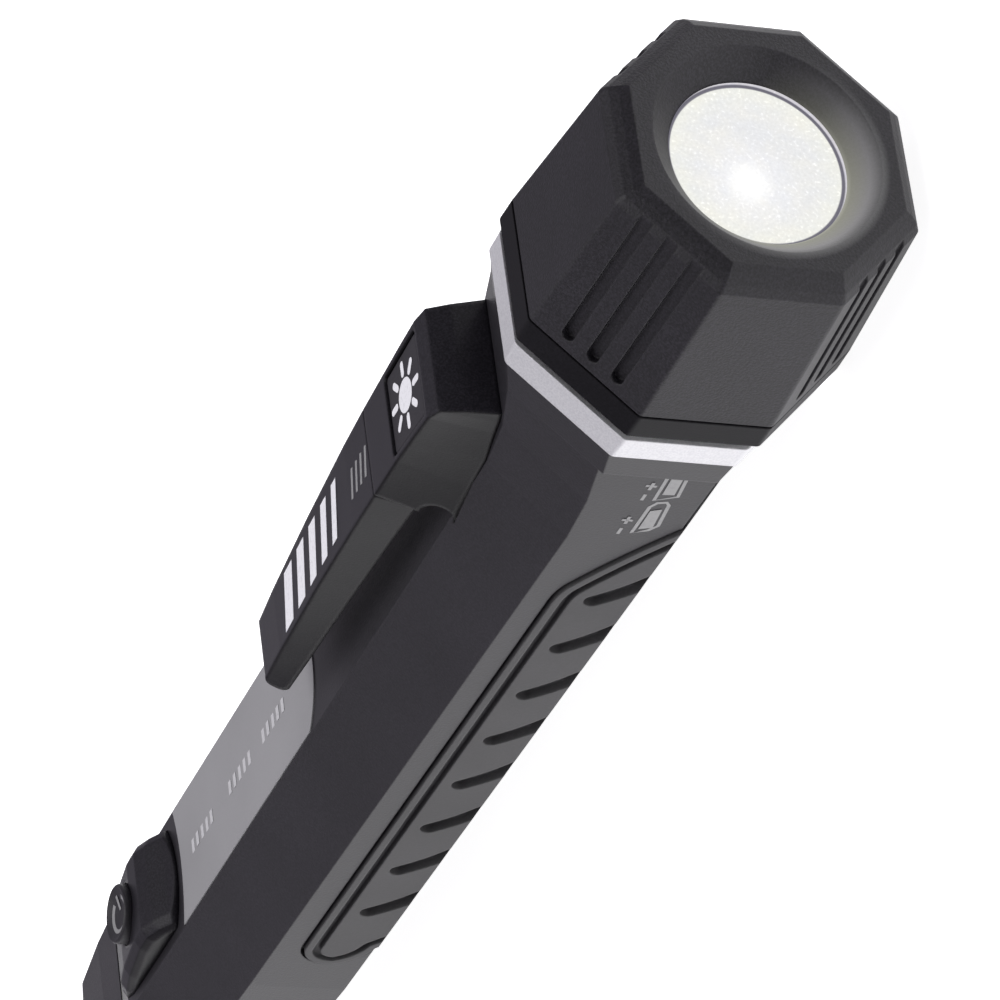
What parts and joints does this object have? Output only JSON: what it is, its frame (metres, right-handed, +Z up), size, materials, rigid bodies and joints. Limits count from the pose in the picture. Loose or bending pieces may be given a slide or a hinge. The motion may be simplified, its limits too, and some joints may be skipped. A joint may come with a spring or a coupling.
{
  "type": "non contact voltage tester",
  "caption": "Pen-shaped non contact voltage tester with an octagonal lamp head, pocket clip, push buttons, side grips and a tapered sensing nose.",
  "frame": {"origin": "centre of the bounding box seen from above, at the height of the flat of the head rim that the tool lies on", "axes": "+X along the tool towards the lamp, +Z up through the clip, +Y across the tool"},
  "size_m": [0.178, 0.0296, 0.0322],
  "materials": {
    "head_bezel": "fine grained",
    "head_core": "satin",
    "lens": "clear",
    "lens_gasket": "matte",
    "reflector": "mirror",
    "led_board": "white solder mask",
    "led_emitter": "lit",
    "contact_carrier": "moulded",
    "contact_pin": "plain",
    "contact_spring": "bright wire",
    "main_housing": "fine grained",
    "housing_screws": "dark",
    "trim_ring": "satin",
    "neck_o_ring": "matte",
    "label_plate": "printed",
    "grip_pad_right": "soft",
    "grip_pad_left": "soft",
    "battery_front": "printed sleeve",
    "battery_rear": "printed sleeve",
    "battery_sleeve": "moulded",
    "contact_strip": "plain",
    "tail_contact": "plated",
    "tail_spring": "bright wire",
    "clip_base": "satin",
    "clip_leaf": "spring steel",
    "clip_arm": "satin",
    "light_button": "soft",
    "light_switch": "moulded",
    "light_switch_board": "solder mask",
    "power_pod": "soft",
    "power_button": "soft",
    "power_switch": "moulded",
    "circuit_board": "solder mask",
    "sounder": "plain",
    "vibration_motor": "plated",
    "alarm_lamp": "clear red",
    "light_ring": "frosted",
    "nose": "fine grained",
    "sensing_plate": "plain"
  },
  "bodies": {
    "tool_body": {"main_housing": "main_housing", "housing_screws": "housing_screws", "trim_ring": "trim_ring", "neck_o_ring": "neck_o_ring", "label_plate": "label_plate", "grip_pad_right": "grip_pad_right", "grip_pad_left": "grip_pad_left", "battery_front": "battery_front", "battery_rear": "battery_rear", "battery_sleeve": "battery_sleeve", "contact_strip": "contact_strip", "tail_contact": "tail_contact", "tail_spring": "tail_spring", "clip_base": "clip_base", "clip_leaf": "clip_leaf", "light_switch": "light_switch", "light_switch_board": "light_switch_board", "power_pod": "power_pod", "power_switch": "power_switch", "circuit_board": "circuit_board", "sounder": "sounder", "vibration_motor": "vibration_motor", "alarm_lamp": "alarm_lamp", "light_ring": "light_ring", "nose": "nose", "sensing_plate": "sensing_plate"},
    "lamp_head": {"head_bezel": "head_bezel", "head_core": "head_core", "lens": "lens", "lens_gasket": "lens_gasket", "reflector": "reflector", "led_board": "led_board", "led_emitter": "led_emitter"},
    "head_carrier": {"contact_carrier": "contact_carrier", "contact_pin": "contact_pin", "contact_spring": "contact_spring"},
    "light_key": {"light_button": "light_button"},
    "power_key": {"power_button": "power_button"},
    "clip_arm": {"clip_arm": "clip_arm"}
  },
  "joints": [
    {"name": "head_slide", "type": "slide", "parent": "tool_body", "child": "head_carrier", "axis": [1, 0, 0], "range_m": [0, 0.0045]},
    {"name": "head_turn", "type": "hinge", "parent": "head_carrier", "child": "lamp_head", "pos_m": [0, 0, 0.0148], "axis": [1, 0, 0], "range_deg": [0, 1080]},
    {"name": "light_button_press", "type": "slide", "parent": "tool_body", "child": "light_key", "axis": [0, 0, -1], "range_m": [0, 0.00035], "stiffness_N_per_m": 3000},
    {"name": "power_button_press", "type": "slide", "parent": "tool_body", "child": "power_key", "axis": [0, 0, -1], "range_m": [0, 0.0004], "stiffness_N_per_m": 2500},
    {"name": "clip_flex", "type": "hinge", "parent": "tool_body", "child": "clip_arm", "pos_m": [0.03692, 0, 0.0301], "axis": [0, 1, 0], "range_deg": [0, 2], "stiffness_Nm_per_rad": 3}
  ],
  "couplings": [
    {"joint": "head_turn", "follows": "head_slide", "rad_per_m": 4188.8}
  ]
}
